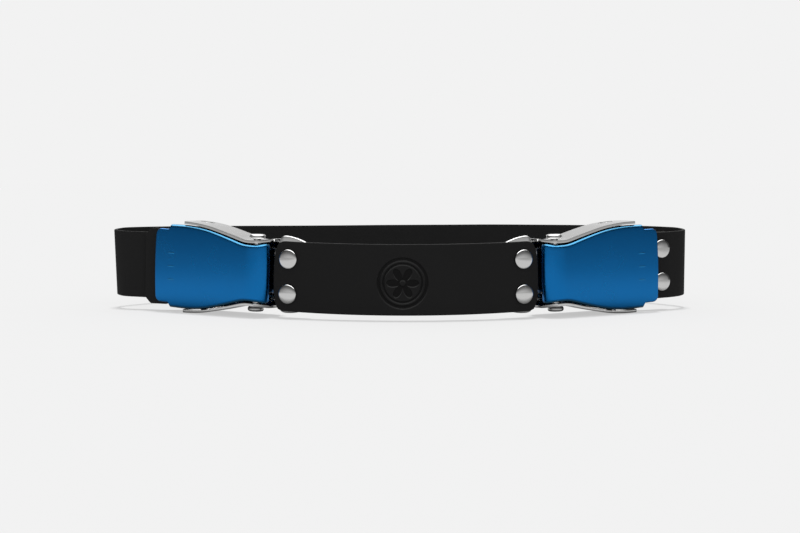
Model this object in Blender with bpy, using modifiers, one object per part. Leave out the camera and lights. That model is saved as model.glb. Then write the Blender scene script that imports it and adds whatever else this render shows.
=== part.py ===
"""Double buckle belt: a leather front panel held between two lift-lever buckles.

The belt stands on its edge, fastened, as a closed loop. X is across the
wearer's front, +Y points from the front panel to the back of the loop, +Z is
up, and the floor is Z = 0. All sizes are in metres.

Each buckle is modelled once in its own frame and placed twice. In that frame
+X runs from the rounded nose, where the link enters, to the lever's tab, +Y
runs from the lever's face to the base plate, and Z is along the hinge pin.
"""

import bpy
import bmesh
import math
from mathutils import Matrix, Vector

MM = 0.001
GAP = 0.3 * MM

# Leather
STRAP_WIDTH = 48.0 * MM
STRAP_THICKNESS = 2.4 * MM
PANEL_THICKNESS = 3.0 * MM
TAIL_WIDTH = 55.0 * MM
TAIL_LENGTH = 17.0 * MM

# Plan of the loop
MIDDLE_X = -0.25 * MM
MIDDLE_Y = 92.7 * MM
FRONT_CENTRE_X = 4.0 * MM - MIDDLE_X
PANEL_RADIUS = 215.0 * MM
PANEL_REACH = 91.0 * MM
PANEL_END_ROUNDING = 7.0 * MM
RIVET_REACH = 80.5 * MM
RIVET_SPACING = 24.0 * MM
LEAN = math.radians(4.0)
STAND_TURN = math.radians(4.2)
STAND_BACK = 1.3 * MM
STAND_LIFT = 2.0 * MM

# Buckle placement: the hinge pin's place and the turn of the buckle in plan
PIN_REACH = 103.2 * MM
PIN_DEPTH = 27.0 * MM
LEFT_YAW = math.radians(30.0)
RIGHT_YAW = math.radians(28.0)
BUCKLE_RAISE = 1.0 * MM

# Buckle sizes, in its own frame
PIN_X = 9.5 * MM
PIN_Y = 8.8 * MM
PIN_RADIUS = 2.5 * MM
HEAD_RADIUS = 5.6 * MM
HEAD_THICKNESS = 3.3 * MM
HEAD_CHAMFER = 0.7 * MM
NOSE_X = -0.5 * MM
NOSE_ROUND_X = 9.8 * MM
NOSE_ROUND_Y = 8.0 * MM
NOSE_ANGLES = (0.0, 15.0, 30.0, 42.0, 54.0, 66.0, 78.0, 90.0)
COVER_THICKNESS = 1.5 * MM
SHOULDER_X = 82.0 * MM
TAB_END_X = 93.0 * MM
TAB_HALF_HEIGHT = 26.4 * MM
TAB_CORNER = 4.0 * MM
COVER_BEND = 1.6 * MM
SKIRT_DEPTH = 4.6 * MM
SKIRT_LIP = 0.4 * MM
EAR_DEPTH = 13.4 * MM
EAR_START_X = 4.4 * MM
EAR_END_X = 13.6 * MM
FRAME_THICKNESS = 1.8 * MM
FRAME_CLEARANCE = 0.8 * MM
NECK_CLEARANCE = 0.4 * MM
FRAME_FRONT_Y = 1.4 * MM
FRAME_BACK_Y = 26.0 * MM
FRAME_BEND = 3.0 * MM
FRAME_END_ROUNDING = 4.0 * MM
LEFT_FRAME_END_X = 72.0 * MM
RIGHT_FRAME_END_X = 78.0 * MM
WIDEST_X = 70.0 * MM
BEAK_X = -3.0 * MM
BEAK_Y = 17.0 * MM
BAR_X = 63.0 * MM
BAR_Y = 18.0 * MM
BAR_RADIUS = 2.2 * MM
SLOT_LENGTH = 12.0 * MM
SLOT_SHIFT = 2.5 * MM

# Link plate
LINK_THICKNESS = 2.0 * MM
LINK_TIP = 3.0 * MM
LINK_RAISE_LENGTH = 28.0 * MM

# Rivets
CAP_RADIUS = 6.7 * MM
CAP_HEIGHT = 1.9 * MM
CAP_RIM = 0.5 * MM
SHANK_RADIUS = 2.0 * MM
BURR_RADIUS = 4.5 * MM
BURR_HEIGHT = 1.0 * MM
STRAP_RIVET_X = 102.0 * MM
STRAP_RIVET_Y = 6.55 * MM
STRAP_RIVET_TURN = math.radians(-4.6)

# Cutters reach well past what they cut
BUCKLE_CUT_LENGTH = 80.0 * MM
RIVET_CUT_LENGTH = 30.0 * MM

# The buckle's side outline: distance along the buckle and half height, in mm
COVER_OUTLINE = (
    (-0.5, 20.9), (1.5, 20.5), (5.0, 19.9), (11.0, 19.7), (15.5, 20.0), (20.0, 21.0), (25.0, 22.4),
    (32.0, 24.3), (39.0, 26.1), (46.0, 27.7), (53.0, 28.8), (60.0, 29.5), (68.0, 29.9), (82.0, 29.8),
)

# The link plate: reaches along the panel, then places in the buckle's frame, in mm
LINK_REACHES = (65.5, 69.0, 73.0, 77.0, 81.0, 84.5, 87.0)
LINK_PATH = ((-5.4, 14.2), (-3.2, 17.6), (0.2, 20.6), (4.6, 22.4), (9.0, 22.9), (16.0, 22.9), (28.0, 22.9))

# The link plate's half height at a distance from its inner end, in mm
LINK_OUTLINE = (
    (0.0, 21.0), (3.0, 22.8), (7.0, 24.4), (12.0, 25.8), (17.0, 26.5), (20.5, 26.5), (22.5, 25.6),
    (24.2, 23.5), (25.5, 20.5), (26.6, 17.4), (28.0, 16.3),
)

# The strap's centre line round the back of the loop, from left to right, in mm
LOOP_PLAN = (
    (-199.0, 76.6), (-206.0, 81.0), (-209.8, 88.0), (-207.2, 97.0), (-200.3, 106.5),
    (-186.0, 120.0), (-160.0, 139.5), (-118.0, 162.0), (-70.0, 177.5), (-20.0, 184.6),
    (30.0, 185.4), (78.0, 179.5), (122.0, 164.0), (162.0, 141.5), (187.0, 122.0),
    (200.7, 107.0), (208.1, 96.5), (209.9, 87.0), (205.2, 78.6),
)

# The strap beside and inside the buckles, in the buckle's frame, in mm
LEFT_TAIL_PATH = ((104.5, 2.9), (98.0, 4.1), (91.0, 5.8), (83.0, 8.3), (74.5, 11.5), (68.0, 13.9))
LEFT_MAIN_PATH = ((68.0, 21.6), (75.0, 18.6), (83.0, 13.6), (91.0, 9.5), (99.0, 7.3), (106.0, 5.7))
RIGHT_MAIN_PATH = (
    (109.0, 7.2), (104.0, 7.6), (99.0, 8.0), (94.0, 8.4),
    (88.0, 9.4), (81.0, 11.1), (74.0, 12.9), (68.0, 14.0),
)
RIGHT_FOLD_PATH = (
    (68.0, 21.7), (75.0, 19.0), (81.0, 15.4), (87.0, 12.7),
    (93.0, 11.5), (99.0, 10.9), (104.0, 10.5), (109.0, 10.1),
)

# Where the strap's lean and its hanging change along the loop
BACK_START_Y = 88.0 * MM - MIDDLE_Y
LEAN_END_X = 209.0 * MM
LEAN_FADE = 11.0 * MM
LEFT_FLARE = 0.03
FLARE_START_X = 150.0 * MM
FLARE_FADE = 45.0 * MM
DROOP_FLAT = 30.0 * MM
DROOP_REACH = 176.0 * MM
LEFT_DROOP = 0.94
RIGHT_DROOP = 0.88
DROOP_FADE = 80.0 * MM
TAIL_FADE = 6.0 * MM
TAIL_CORNER = 4.5 * MM
STATION_TURN = math.radians(9.0)
STATION_RUN = 9.0 * MM

X_AXIS = Vector((1.0, 0.0, 0.0))
Y_AXIS = Vector((0.0, 1.0, 0.0))
Z_AXIS = Vector((0.0, 0.0, 1.0))

# The belt is modelled with its buckles level, then turned so that they stand on their lower edges
STAND = Matrix.Translation((0.0, STAND_BACK, STAND_LIFT)) @ Matrix.Rotation(STAND_TURN, 4, "X")
FLOOR_UP = STAND.inverted().to_3x3() @ Z_AXIS


def clear_scene():
    for item in list(bpy.data.objects):
        bpy.data.objects.remove(item, do_unlink=True)


def material(name, colour, roughness, metallic):
    made = bpy.data.materials.new(name)
    made.use_nodes = True
    shader = made.node_tree.nodes["Principled BSDF"]
    shader.inputs["Base Color"].default_value = (*colour, 1.0)
    shader.inputs["Roughness"].default_value = roughness
    shader.inputs["Metallic"].default_value = metallic
    return made


def collection(name):
    made = bpy.data.collections.new(name)
    bpy.context.scene.collection.children.link(made)
    return made


def add_object(name, mesh, finish, place=None):
    made = bpy.data.objects.new(name, mesh)
    if finish is not None:
        mesh.materials.clear()
        mesh.materials.append(finish)
    PARTS.objects.link(made)
    made.matrix_world = STAND @ place if place is not None else STAND
    return made


# Curves and tables

def smooth_step(value):
    value = min(max(value, 0.0), 1.0)
    return value * value * (3.0 - 2.0 * value)


def table_value(table, x):
    """Smooth value of a table of (x, y) rows: a cubic through its neighbours."""
    rows = [(a * MM, b * MM) for a, b in table]
    if x <= rows[0][0]:
        return rows[0][1]
    if x >= rows[-1][0]:
        return rows[-1][1]
    index = next(i for i in range(len(rows) - 1) if x <= rows[i + 1][0])

    def slope(i):
        low = max(i - 1, 0)
        high = min(i + 1, len(rows) - 1)
        return (rows[high][1] - rows[low][1]) / (rows[high][0] - rows[low][0])

    (x0, y0), (x1, y1) = rows[index], rows[index + 1]
    span = x1 - x0
    t = (x - x0) / span
    m0 = slope(index) * span
    m1 = slope(index + 1) * span
    return ((2 * t**3 - 3 * t**2 + 1) * y0 + (t**3 - 2 * t**2 + t) * m0
            + (3 * t**2 - 2 * t**3) * y1 + (t**3 - t**2) * m1)


def through_points(points, step):
    """Points a step apart, or a little less, along a Catmull-Rom curve."""
    dense = []
    for i in range(len(points) - 1):
        p0 = points[max(i - 1, 0)]
        p1 = points[i]
        p2 = points[i + 1]
        p3 = points[min(i + 2, len(points) - 1)]
        for k in range(24):
            t = k / 24
            dense.append(0.5 * (2 * p1 + (p2 - p0) * t + (2 * p0 - 5 * p1 + 4 * p2 - p3) * t**2
                                + (3 * p1 - p0 - 3 * p2 + p3) * t**3))
    dense.append(points[-1].copy())
    return even_points(dense, step)


def even_points(dense, step):
    """The same line with its points spaced evenly."""
    lengths = [0.0]
    for a, b in zip(dense, dense[1:]):
        lengths.append(lengths[-1] + (b - a).length)
    count = max(2, math.ceil(lengths[-1] / step))
    made = []
    index = 0
    for k in range(count + 1):
        wanted = lengths[-1] * k / count
        while index < len(dense) - 2 and lengths[index + 1] < wanted:
            index += 1
        span = lengths[index + 1] - lengths[index]
        made.append(dense[index].lerp(dense[index + 1], (wanted - lengths[index]) / span))
    return made


# Sheet and turned pieces

def grid_mesh(name, columns, rows, place):
    """A grid primitive whose points are laid on the surface that place(s, t) describes."""
    shape = bmesh.new()
    bmesh.ops.create_grid(shape, x_segments=columns, y_segments=rows, size=0.5)
    for vertex in shape.verts:
        vertex.co = place(vertex.co.x + 0.5, vertex.co.y + 0.5)
    mesh = bpy.data.meshes.new(name)
    shape.to_mesh(mesh)
    shape.free()
    return mesh


def add_wall(item, thickness, offset):
    wall = item.modifiers.new("wall", "SOLIDIFY")
    wall.thickness = thickness
    wall.offset = offset
    wall.use_even_offset = True


def add_bevel(item, width, segments=1, angle=40.0):
    bevel = item.modifiers.new("edges", "BEVEL")
    bevel.width = width
    bevel.segments = segments
    bevel.limit_method = "ANGLE"
    bevel.angle_limit = math.radians(angle)
    bevel.harden_normals = False


def cut(item, cutter):
    hole = item.modifiers.new(cutter.name, "BOOLEAN")
    hole.operation = "DIFFERENCE"
    hole.solver = "EXACT"
    hole.object = cutter


def as_cutter(name, mesh, place):
    made = bpy.data.objects.new(name, mesh)
    CUTTERS.objects.link(made)
    made.matrix_world = STAND @ place
    made.hide_render = True
    made.display_type = "WIRE"
    return made


def rod_mesh(name, radius, length, sides=16):
    """A closed cylinder along Z, centred on its origin."""
    shape = bmesh.new()
    bmesh.ops.create_cone(shape, cap_ends=True, segments=sides, radius1=radius, radius2=radius, depth=length)
    mesh = bpy.data.meshes.new(name)
    shape.to_mesh(mesh)
    shape.free()
    return mesh


def slot_mesh(name, length, width, depth):
    """A closed bar with round ends along X, cut straight through along Z."""
    shape = bmesh.new()
    radius = width / 2
    bmesh.ops.create_cone(shape, cap_ends=True, segments=16, radius1=radius, radius2=radius, depth=depth)
    for vertex in shape.verts:
        vertex.co.x += math.copysign((length - width) / 2, vertex.co.x + 1e-9)
    mesh = bpy.data.meshes.new(name)
    shape.to_mesh(mesh)
    shape.free()
    return mesh


def turned(name, profile, steps, finish, place):
    """A turned piece: a profile of (radius, height) rows, top to bottom, turned about Z."""
    mesh = bpy.data.meshes.new(name)
    points = [(radius, 0.0, height) for radius, height in profile]
    mesh.from_pydata(points, [(i, i + 1) for i in range(len(points) - 1)], [])
    made = add_object(name, mesh, finish, place)
    screw = made.modifiers.new("turn", "SCREW")
    screw.steps = steps
    screw.render_steps = steps
    screw.use_merge_vertices = True
    screw.merge_threshold = 0.00001
    return made


# Frames of reference

def buckle_place(side):
    """The matrix that takes the buckle's own frame to the belt; side is -1 left, +1 right."""
    yaw = LEFT_YAW if side < 0 else RIGHT_YAW
    along = Vector((side * math.cos(yaw), math.sin(yaw), 0.0))
    back = Vector((-side * math.sin(yaw), math.cos(yaw), 0.0))
    inward = back * math.cos(LEAN) - Z_AXIS * math.sin(LEAN)
    pin_axis = along.cross(inward)
    pin = Vector((FRONT_CENTRE_X + side * PIN_REACH, PIN_DEPTH - MIDDLE_Y, BUCKLE_MID_Z))
    turn = Matrix((along, inward, pin_axis)).transposed().to_4x4()
    return Matrix.Translation(pin) @ turn @ Matrix.Translation((-PIN_X, -PIN_Y, 0.0))


def in_plan_direction(side):
    """The buckle's own Y seen from above."""
    back = buckle_place(side).to_3x3() @ Y_AXIS
    return Vector((back.x, back.y, 0.0)).normalized()


def cover_half_height(x):
    return table_value(COVER_OUTLINE, x)


def frame_half_height(x):
    """Half height of the frame's outer faces, with a little more room round the hinge."""
    spare = NECK_CLEARANCE * (1.0 - smooth_step((x - 16.0 * MM) / (30.0 * MM)))
    return cover_half_height(x) + FRAME_CLEARANCE + spare + FRAME_THICKNESS


FRAME_REACH = frame_half_height(WIDEST_X) * math.cos(LEAN)
FRAME_REACH += (FRAME_BACK_Y - 0.55 * FRAME_BEND - PIN_Y) * math.sin(LEAN)
BUCKLE_MID_Z = FRAME_REACH - 0.06 * MM
STRAP_MID_Z = BUCKLE_MID_Z - BUCKLE_RAISE
STRAP_LIFT = STRAP_MID_Z - STRAP_WIDTH / 2


# Buckle

def frame_edge_low(y):
    """Where the frame's side starts along the buckle, at a depth: a rounded beak."""
    if y < BEAK_Y:
        return BEAK_X + 10.0 * MM * ((BEAK_Y - y) / (16.0 * MM)) ** 2
    return BEAK_X + 4.5 * MM * ((y - BEAK_Y) / (9.0 * MM)) ** 2


def frame_edge_high(y, end_x):
    """Where the frame's side ends: its two outer corners are rounded off."""
    middle = (FRAME_FRONT_Y + FRAME_BACK_Y) / 2
    away = abs(y - middle) / (FRAME_BACK_Y - middle)
    return end_x - FRAME_END_ROUNDING * away**4


def frame_section():
    """The frame's folded section between its front edges: depth, share of half height, inset."""
    bend_y = FRAME_BACK_Y - FRAME_BEND
    side = [(FRAME_FRONT_Y, 0.0), (6.0 * MM, 0.0), (12.0 * MM, 0.0), (18.0 * MM, 0.0)]
    for k in range(3):
        angle = math.radians(45.0 * k)
        side.append((bend_y + FRAME_BEND * math.sin(angle), FRAME_BEND * (1.0 - math.cos(angle))))
    section = [(y, -1.0, inset) for y, inset in side]
    section += [(y, 1.0, inset) for y, inset in reversed(side)]
    return section


def frame_mesh(end_x):
    section = frame_section()

    def place(s, t):
        y, sign, inset = section[round(t * (len(section) - 1))]
        low = frame_edge_low(y)
        x = low + (frame_edge_high(y, end_x) - low) * s
        return Vector((x, y, sign * (frame_half_height(x) - inset)))

    return grid_mesh("buckle_frame", 16, len(section) - 1, place)


def cover_line():
    """The lever's face in plan: straight from the tab, then rolled round the nose."""
    line = []
    straight = [TAB_END_X, TAB_END_X - 1.4 * MM, TAB_END_X - TAB_CORNER, 85.5 * MM, SHOULDER_X + 0.6 * MM,
                SHOULDER_X, 74.0 * MM, 67.0 * MM, 60.0 * MM, 53.0 * MM, 46.0 * MM, 39.0 * MM, 32.0 * MM,
                25.0 * MM, 20.0 * MM, 17.0 * MM, EAR_END_X, 11.0 * MM]
    for x in straight:
        line.append((Vector((x, 0.0, 0.0)), Y_AXIS.copy()))
    centre = Vector((NOSE_X + NOSE_ROUND_X, NOSE_ROUND_Y, 0.0))
    for degrees in NOSE_ANGLES:
        angle = math.radians(degrees)
        point = centre + Vector((-NOSE_ROUND_X * math.sin(angle), -NOSE_ROUND_Y * math.cos(angle), 0.0))
        inward = Vector((math.sin(angle) / NOSE_ROUND_X, math.cos(angle) / NOSE_ROUND_Y, 0.0)).normalized()
        line.append((point, inward))
    line.append((centre + Vector((-NOSE_ROUND_X, COVER_BEND, 0.0)), Vector((1.0, 0.0, 0.0))))
    return line


def cover_edge(x):
    """Half height of the lever at a place along it, with the stepped tab and its round corners."""
    if x <= SHOULDER_X:
        return cover_half_height(x)
    into_corner = max(0.0, x - (TAB_END_X - TAB_CORNER)) / TAB_CORNER
    return TAB_HALF_HEIGHT - TAB_CORNER * (1.0 - math.sqrt(max(0.0, 1.0 - into_corner**2))) * 0.75


def skirt_depth(x):
    """How far the lever's folded sides reach back: ears round the pin, a low skirt, none on the tab."""
    if x > SHOULDER_X - 4.0 * MM:
        return COVER_BEND
    if x < EAR_START_X - 0.1 * MM:
        return COVER_BEND
    if x < EAR_END_X + 0.1 * MM:
        return EAR_DEPTH
    return SKIRT_DEPTH


def lever_mesh():
    line = cover_line()
    across = [(1.0, 0.0), (0.55, 0.0)]
    across += [(None, 0.0), (None, 0.3), (None, 1.0)]
    shape_rows = len(across) * 2

    def place(s, t):
        point, inward = line[round(s * (len(line) - 1))]
        row = round(t * shape_rows)
        middle = row == len(across)
        sign = -1.0 if row < len(across) else 1.0
        step = row if row < len(across) else shape_rows - row
        half = cover_edge(point.x)
        if middle:
            return point.copy()
        depth, bend = across[step]
        if depth is None:
            angle = bend * math.pi / 2
            back = COVER_BEND * (1.0 - math.sin(angle))
            inset = COVER_BEND * (1.0 - math.cos(angle))
            return point + inward * back + Z_AXIS * sign * (half - inset)
        edge = point + inward * COVER_BEND
        if point.x > EAR_START_X - 0.1 * MM:
            edge += Y_AXIS * max(skirt_depth(point.x) - edge.y, SKIRT_LIP) * depth
        else:
            edge += inward * SKIRT_LIP * depth
        return edge + Z_AXIS * sign * half

    return grid_mesh("lever", len(line) - 1, shape_rows, place)


def pin_profile(half_length):
    """Half of the hinge pin, from the middle of its top to the middle of its length."""
    low = half_length + GAP
    top = low + HEAD_THICKNESS
    return [(0.0, top), (HEAD_RADIUS - HEAD_CHAMFER, top), (HEAD_RADIUS - 0.2 * MM, top - 0.25 * MM),
            (HEAD_RADIUS, top - HEAD_CHAMFER), (HEAD_RADIUS, low + 0.3 * MM),
            (HEAD_RADIUS - 0.3 * MM, low), (PIN_RADIUS, low)]


def make_buckle(side, word):
    place = buckle_place(side)
    end_x = LEFT_FRAME_END_X if side < 0 else RIGHT_FRAME_END_X
    beside_head = max(frame_half_height(PIN_X + HEAD_RADIUS), frame_half_height(PIN_X - HEAD_RADIUS))
    pin_half = beside_head + 0.05 * MM
    pin_place = place @ Matrix.Translation((PIN_X, PIN_Y, 0.0))
    bar_place = place @ Matrix.Translation((BAR_X, BAR_Y, 0.0))

    frame = add_object("buckle_frame_" + word, frame_mesh(end_x), STEEL, place)
    add_wall(frame, FRAME_THICKNESS, 1.0)
    hole_mesh = rod_mesh("pin_hole", PIN_RADIUS + GAP, BUCKLE_CUT_LENGTH)
    pin_hole = as_cutter("pin_hole_" + word, hole_mesh, pin_place)
    slot_place = bar_place @ Matrix.Translation((-SLOT_SHIFT, 0.0, 0.0))
    slot = slot_mesh("bar_slot", SLOT_LENGTH, 2 * (BAR_RADIUS + GAP), BUCKLE_CUT_LENGTH)
    bar_slot = as_cutter("bar_slot_" + word, slot, slot_place)
    cut(frame, pin_hole)
    cut(frame, bar_slot)

    # The lever's origin is on its hinge axis
    mesh = lever_mesh()
    mesh.transform(Matrix.Translation((-PIN_X, -PIN_Y, 0.0)))
    lever = add_object("lever_" + word, mesh, BLUE, pin_place)
    add_wall(lever, COVER_THICKNESS, 1.0)
    cut(lever, pin_hole)

    upper = pin_profile(pin_half)
    lower = [(radius, -height) for radius, height in reversed(upper)]
    turned("hinge_pin_" + word, upper + lower, 14, STEEL, pin_place)

    bar_length = 2 * (frame_half_height(BAR_X) - 0.2 * MM)
    bar = add_object("strap_bar_" + word, rod_mesh("strap_bar", BAR_RADIUS, bar_length), STEEL, bar_place)
    add_bevel(bar, 0.4 * MM)


# Front panel, links and rivets

def panel_point(reach_angle, depth):
    """A point in plan at an angle along the panel's arc, a depth behind its face."""
    radius = PANEL_RADIUS - depth
    return Vector((FRONT_CENTRE_X + radius * math.sin(reach_angle),
                   PANEL_RADIUS - radius * math.cos(reach_angle) - MIDDLE_Y, 0.0))


def panel_inward(reach_angle):
    return Vector((-math.sin(reach_angle), math.cos(reach_angle), 0.0))


def ruling(inward):
    """The direction that the leather's height takes where the belt leans inwards."""
    return Z_AXIS * math.cos(LEAN) + inward * math.sin(LEAN)


def rivet_place(side, level, depth):
    """Where a panel rivet sits: its Z points out of the leather's face."""
    angle = side * math.asin(RIVET_REACH / PANEL_RADIUS)
    inward = panel_inward(angle)
    up = ruling(inward)
    outward = inward * -math.cos(LEAN) + Z_AXIS * math.sin(LEAN)
    centre = panel_point(angle, depth) + Z_AXIS * STRAP_MID_Z + up * (level * RIVET_SPACING / 2)
    across = up.cross(outward)
    turn = Matrix((across, up, outward)).transposed().to_4x4()
    return Matrix.Translation(centre) @ turn


def panel_mesh():
    end_angle = math.asin(PANEL_REACH / PANEL_RADIUS)
    columns = 30
    rows = 8
    power = 2.6

    def place(s, t):
        level = math.sin((t - 0.5) * math.pi) * 0.35 + (t - 0.5) * 1.3
        rounding = PANEL_END_ROUNDING * (1.0 - (1.0 - min(abs(level), 1.0) ** power) ** (1.0 / power))
        angle = (2.0 * s - 1.0) * (end_angle - rounding / PANEL_RADIUS)
        inward = panel_inward(angle)
        up = ruling(inward)
        return panel_point(angle, 0.0) + Z_AXIS * STRAP_MID_Z + up * (level * STRAP_WIDTH / 2)

    return grid_mesh("front_panel", columns, rows, place)


def make_front_panel(holes):
    panel = add_object("front_panel", panel_mesh(), LEATHER)
    add_wall(panel, PANEL_THICKNESS, -1.0)
    add_bevel(panel, 0.5 * MM, angle=60.0)
    for hole in holes:
        cut(panel, hole)


def link_line(side):
    """The link plate's centre line in plan, from behind the panel into the buckle, in the belt's frame."""
    depth = PANEL_THICKNESS + GAP + LINK_THICKNESS / 2
    line = []
    for reach in LINK_REACHES:
        angle = side * math.asin(reach * MM / PANEL_RADIUS)
        line.append(panel_point(angle, depth))
    place = buckle_place(side)
    for x, y in LINK_PATH:
        spot = place @ Vector((x * MM, y * MM, 0.0))
        line.append(Vector((spot.x, spot.y, 0.0)))
    return even_points(through_points(line, 1.0 * MM), 2.4 * MM)


def link_half_height(distance, length):
    """The link's head has round shoulders and narrows to a neck inside the buckle."""
    tip = max(0.0, LINK_TIP - (length - distance))
    return table_value(LINK_OUTLINE, distance) - tip


def link_mesh(side):
    line = link_line(side)
    distances = [0.0]
    for a, b in zip(line, line[1:]):
        distances.append(distances[-1] + (b - a).length)
    up = ruling(in_plan_direction(side))

    def place(s, t):
        index = round(s * (len(line) - 1))
        half = link_half_height(distances[index], distances[-1])
        raise_by = BUCKLE_RAISE * smooth_step(distances[index] / LINK_RAISE_LENGTH)
        return line[index] + Z_AXIS * (STRAP_MID_Z + raise_by) + up * (2.0 * t - 1.0) * half

    return grid_mesh("link", len(line) - 1, 2, place)


def make_link(side, word, holes):
    link = add_object("link_" + word, link_mesh(side), STEEL)
    add_wall(link, LINK_THICKNESS, 0.0)
    add_bevel(link, 0.45 * MM, angle=50.0)
    for hole in holes:
        cut(link, hole)


def rivet_profile(grip):
    """Cap, shank and burr of a rivet that clamps leather and metal of a total thickness."""
    rows = []
    for k in range(4):
        angle = math.radians(30.0 * k)
        rows.append((CAP_RADIUS * math.sin(angle), GAP + CAP_RIM + (CAP_HEIGHT - CAP_RIM) * math.cos(angle)))
    rows += [(CAP_RADIUS, GAP), (SHANK_RADIUS, GAP), (SHANK_RADIUS, -grip - GAP), (BURR_RADIUS, -grip - GAP),
             (BURR_RADIUS - 0.3 * MM, -grip - GAP - BURR_HEIGHT), (0.0, -grip - GAP - BURR_HEIGHT)]
    return rows


def make_panel_rivets():
    """The four rivets of the front panel; gives back the holes that they need."""
    grip = PANEL_THICKNESS + GAP + LINK_THICKNESS
    holes = {}
    for side, word in ((-1, "left"), (1, "right")):
        holes[word] = []
        for level, end in ((-1, "lower"), (1, "upper")):
            name = "panel_rivet_" + word + "_" + end
            place = rivet_place(side, level, 0.0)
            turned(name, rivet_profile(grip), 16, STEEL, place)
            hole = rod_mesh("rivet_hole", SHANK_RADIUS + GAP, RIVET_CUT_LENGTH, 12)
            holes[word].append(as_cutter(name + "_hole", hole, place))
    return holes


# Back strap

def strap_line():
    """The whole strap's centre line in plan, from its free end to the end of its riveted fold."""
    left = buckle_place(-1)
    right = buckle_place(1)

    def in_plan(place, x, y):
        spot = place @ Vector((x, y, 0.0))
        return Vector((spot.x, spot.y, 0.0))

    def bar_turn(place):
        radius = BAR_RADIUS + GAP + STRAP_THICKNESS / 2
        turn = []
        for k in range(9):
            angle = math.radians(-80.0 + 20.0 * k)
            turn.append(in_plan(place, BAR_X - radius * math.cos(angle), BAR_Y + radius * math.sin(angle)))
        return turn

    line = [in_plan(left, x * MM, y * MM) for x, y in LEFT_TAIL_PATH]
    line += bar_turn(left)
    line += [in_plan(left, x * MM, y * MM) for x, y in LEFT_MAIN_PATH]
    line += [Vector((x * MM - MIDDLE_X, y * MM - MIDDLE_Y, 0.0)) for x, y in LOOP_PLAN]
    line += [in_plan(right, x * MM, y * MM) for x, y in RIGHT_MAIN_PATH]
    line += bar_turn(right)
    line += [in_plan(right, x * MM, y * MM) for x, y in RIGHT_FOLD_PATH]
    return line


def strap_droop(x):
    """How far the strap's edge hangs below its level at the buckles: to the floor at the back."""
    away = min(max((abs(x) - DROOP_FLAT) / DROOP_REACH, 0.0), 1.0)
    share = LEFT_DROOP + (RIGHT_DROOP - LEFT_DROOP) * smooth_step(x / DROOP_FADE)
    return STRAP_LIFT * (1.0 - away * away) * share


def strap_mesh():
    fine = sparse_points(through_points(strap_line(), 1.2 * MM))
    back_left = in_plan_direction(-1)
    back_right = in_plan_direction(1)
    lengths = [0.0]
    for a, b in zip(fine, fine[1:]):
        lengths.append(lengths[-1] + (b - a).length)

    def place(s, t):
        index = round(s * (len(fine) - 1))
        spot = fine[index]
        at_back = spot.y > BACK_START_Y
        droop = strap_droop(spot.x) if at_back else 0.0
        share = 0.0 if at_back else smooth_step((LEAN_END_X - abs(spot.x)) / LEAN_FADE)
        flare = LEFT_FLARE * smooth_step((-spot.x - FLARE_START_X) / FLARE_FADE)
        leaning = ruling(back_left if spot.x < 0 else back_right)
        up = (FLOOR_UP - X_AXIS * flare).lerp(leaning, share).normalized()
        half = strap_half_width(lengths[index])
        return spot + Z_AXIS * (STRAP_MID_Z - droop) + up * (2.0 * t - 1.0) * half

    return grid_mesh("back_strap", len(fine) - 1, 1, place)


def sparse_points(points):
    """Fewer points where the line is nearly straight."""
    kept = [points[0]]
    turned_by = 0.0
    run = 0.0
    for before, here, after in zip(points, points[1:], points[2:]):
        turned_by += (here - before).angle(after - here)
        run += (here - before).length
        if turned_by > STATION_TURN or run > STATION_RUN:
            kept.append(here)
            turned_by = 0.0
            run = 0.0
    kept.append(points[-1])
    return kept


def strap_half_width(distance):
    """The free end is cut wider, as a stop, with its corners taken off."""
    narrow = STRAP_WIDTH / 2
    wide = TAIL_WIDTH / 2
    if distance < TAIL_CORNER:
        return wide - (TAIL_CORNER - distance)
    return wide + (narrow - wide) * smooth_step((distance - TAIL_LENGTH) / TAIL_FADE)


def make_strap(holes):
    strap = add_object("back_strap", strap_mesh(), LEATHER)
    add_wall(strap, STRAP_THICKNESS, 0.0)
    for hole in holes:
        cut(strap, hole)


def strap_rivet_place(level):
    """Where a strap rivet sits on the doubled strap beside the right buckle's tab."""
    place = buckle_place(1)
    spot = Vector((STRAP_RIVET_X, STRAP_RIVET_Y, level * RIVET_SPACING / 2 - BUCKLE_RAISE))
    turn = Matrix.Rotation(math.radians(90.0), 4, "X") @ Matrix.Rotation(STRAP_RIVET_TURN, 4, "Y")
    return place @ Matrix.Translation(spot) @ turn


def make_strap_rivets():
    grip = 2 * STRAP_THICKNESS + 2 * GAP
    holes = []
    for level, end in ((-1, "lower"), (1, "upper")):
        name = "strap_rivet_" + end
        place = strap_rivet_place(level)
        turned(name, rivet_profile(grip), 16, STEEL, place)
        hole = rod_mesh("rivet_hole", SHANK_RADIUS + GAP, RIVET_CUT_LENGTH, 12)
        holes.append(as_cutter(name + "_hole", hole, place))
    return holes


clear_scene()
PARTS = collection("double_buckle_belt")
CUTTERS = collection("cutters")
LEATHER = material("black_leather", (0.013, 0.013, 0.014), 0.6, 0.0)
STEEL = material("polished_steel", (0.62, 0.62, 0.61), 0.16, 1.0)
BLUE = material("blue_anodised", (0.01, 0.12, 0.36), 0.35, 0.6)

for buckle_side, buckle_word in ((-1, "left"), (1, "right")):
    make_buckle(buckle_side, buckle_word)
panel_holes = make_panel_rivets()
make_front_panel(panel_holes["left"] + panel_holes["right"])
for link_side, link_word in ((-1, "left"), (1, "right")):
    make_link(link_side, link_word, panel_holes[link_word])
make_strap(make_strap_rivets())
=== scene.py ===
# %% [markdown]
# # A double buckle belt
# The belt stands on its edge as a closed loop. A leather panel lies across the
# front, a lift-lever buckle sits at each side, and the strap runs round the back.
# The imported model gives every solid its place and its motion. This lesson
# gives the pieces their finished shapes and surfaces.

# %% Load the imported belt
import math

import bpy
from mathutils import Matrix, Vector


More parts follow.
